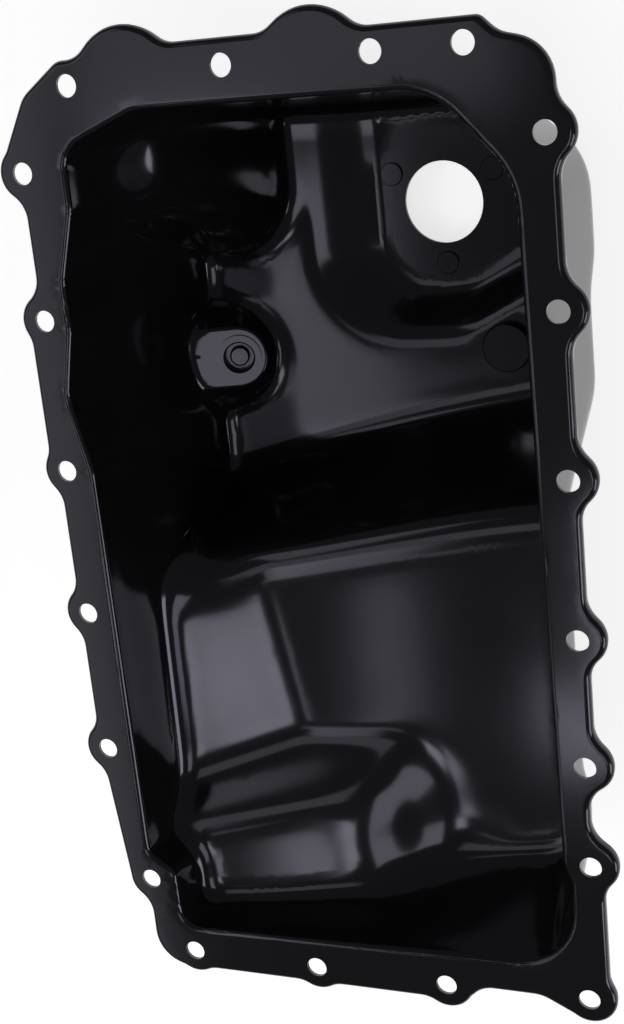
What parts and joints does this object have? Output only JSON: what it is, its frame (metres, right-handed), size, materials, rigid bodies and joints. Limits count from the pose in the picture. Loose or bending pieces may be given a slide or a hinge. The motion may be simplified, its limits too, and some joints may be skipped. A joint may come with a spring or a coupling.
{
  "type": "engine oil pan",
  "caption": "Deep-drawn sheet steel engine oil pan with a bolting flange, a deep sump with drain plug and level-sensor port, and a shallow shelf.",
  "frame": {"origin": "the middle of the bolt frame in the plane of the gasket face", "axes": "+Z out of the gasket face towards the engine, +Y along the pan's length towards the deep sump's end wall, +X towards the side opposite the drain"},
  "size_m": [0.2396, 0.4174, 0.137],
  "materials": {
    "black_coat": "gloss",
    "zinc": "satin",
    "seal_metal": "satin",
    "ferrite": "satin"
  },
  "bodies": {
    "root": {"pan_shell": "black_coat", "drain_bush": "black_coat", "sensor_stud_1": "black_coat", "sensor_stud_2": "black_coat", "sensor_stud_3": "black_coat", "drain_plug": "zinc", "drain_seal": "seal_metal", "chip_magnet": "ferrite"}
  },
  "joints": []
}
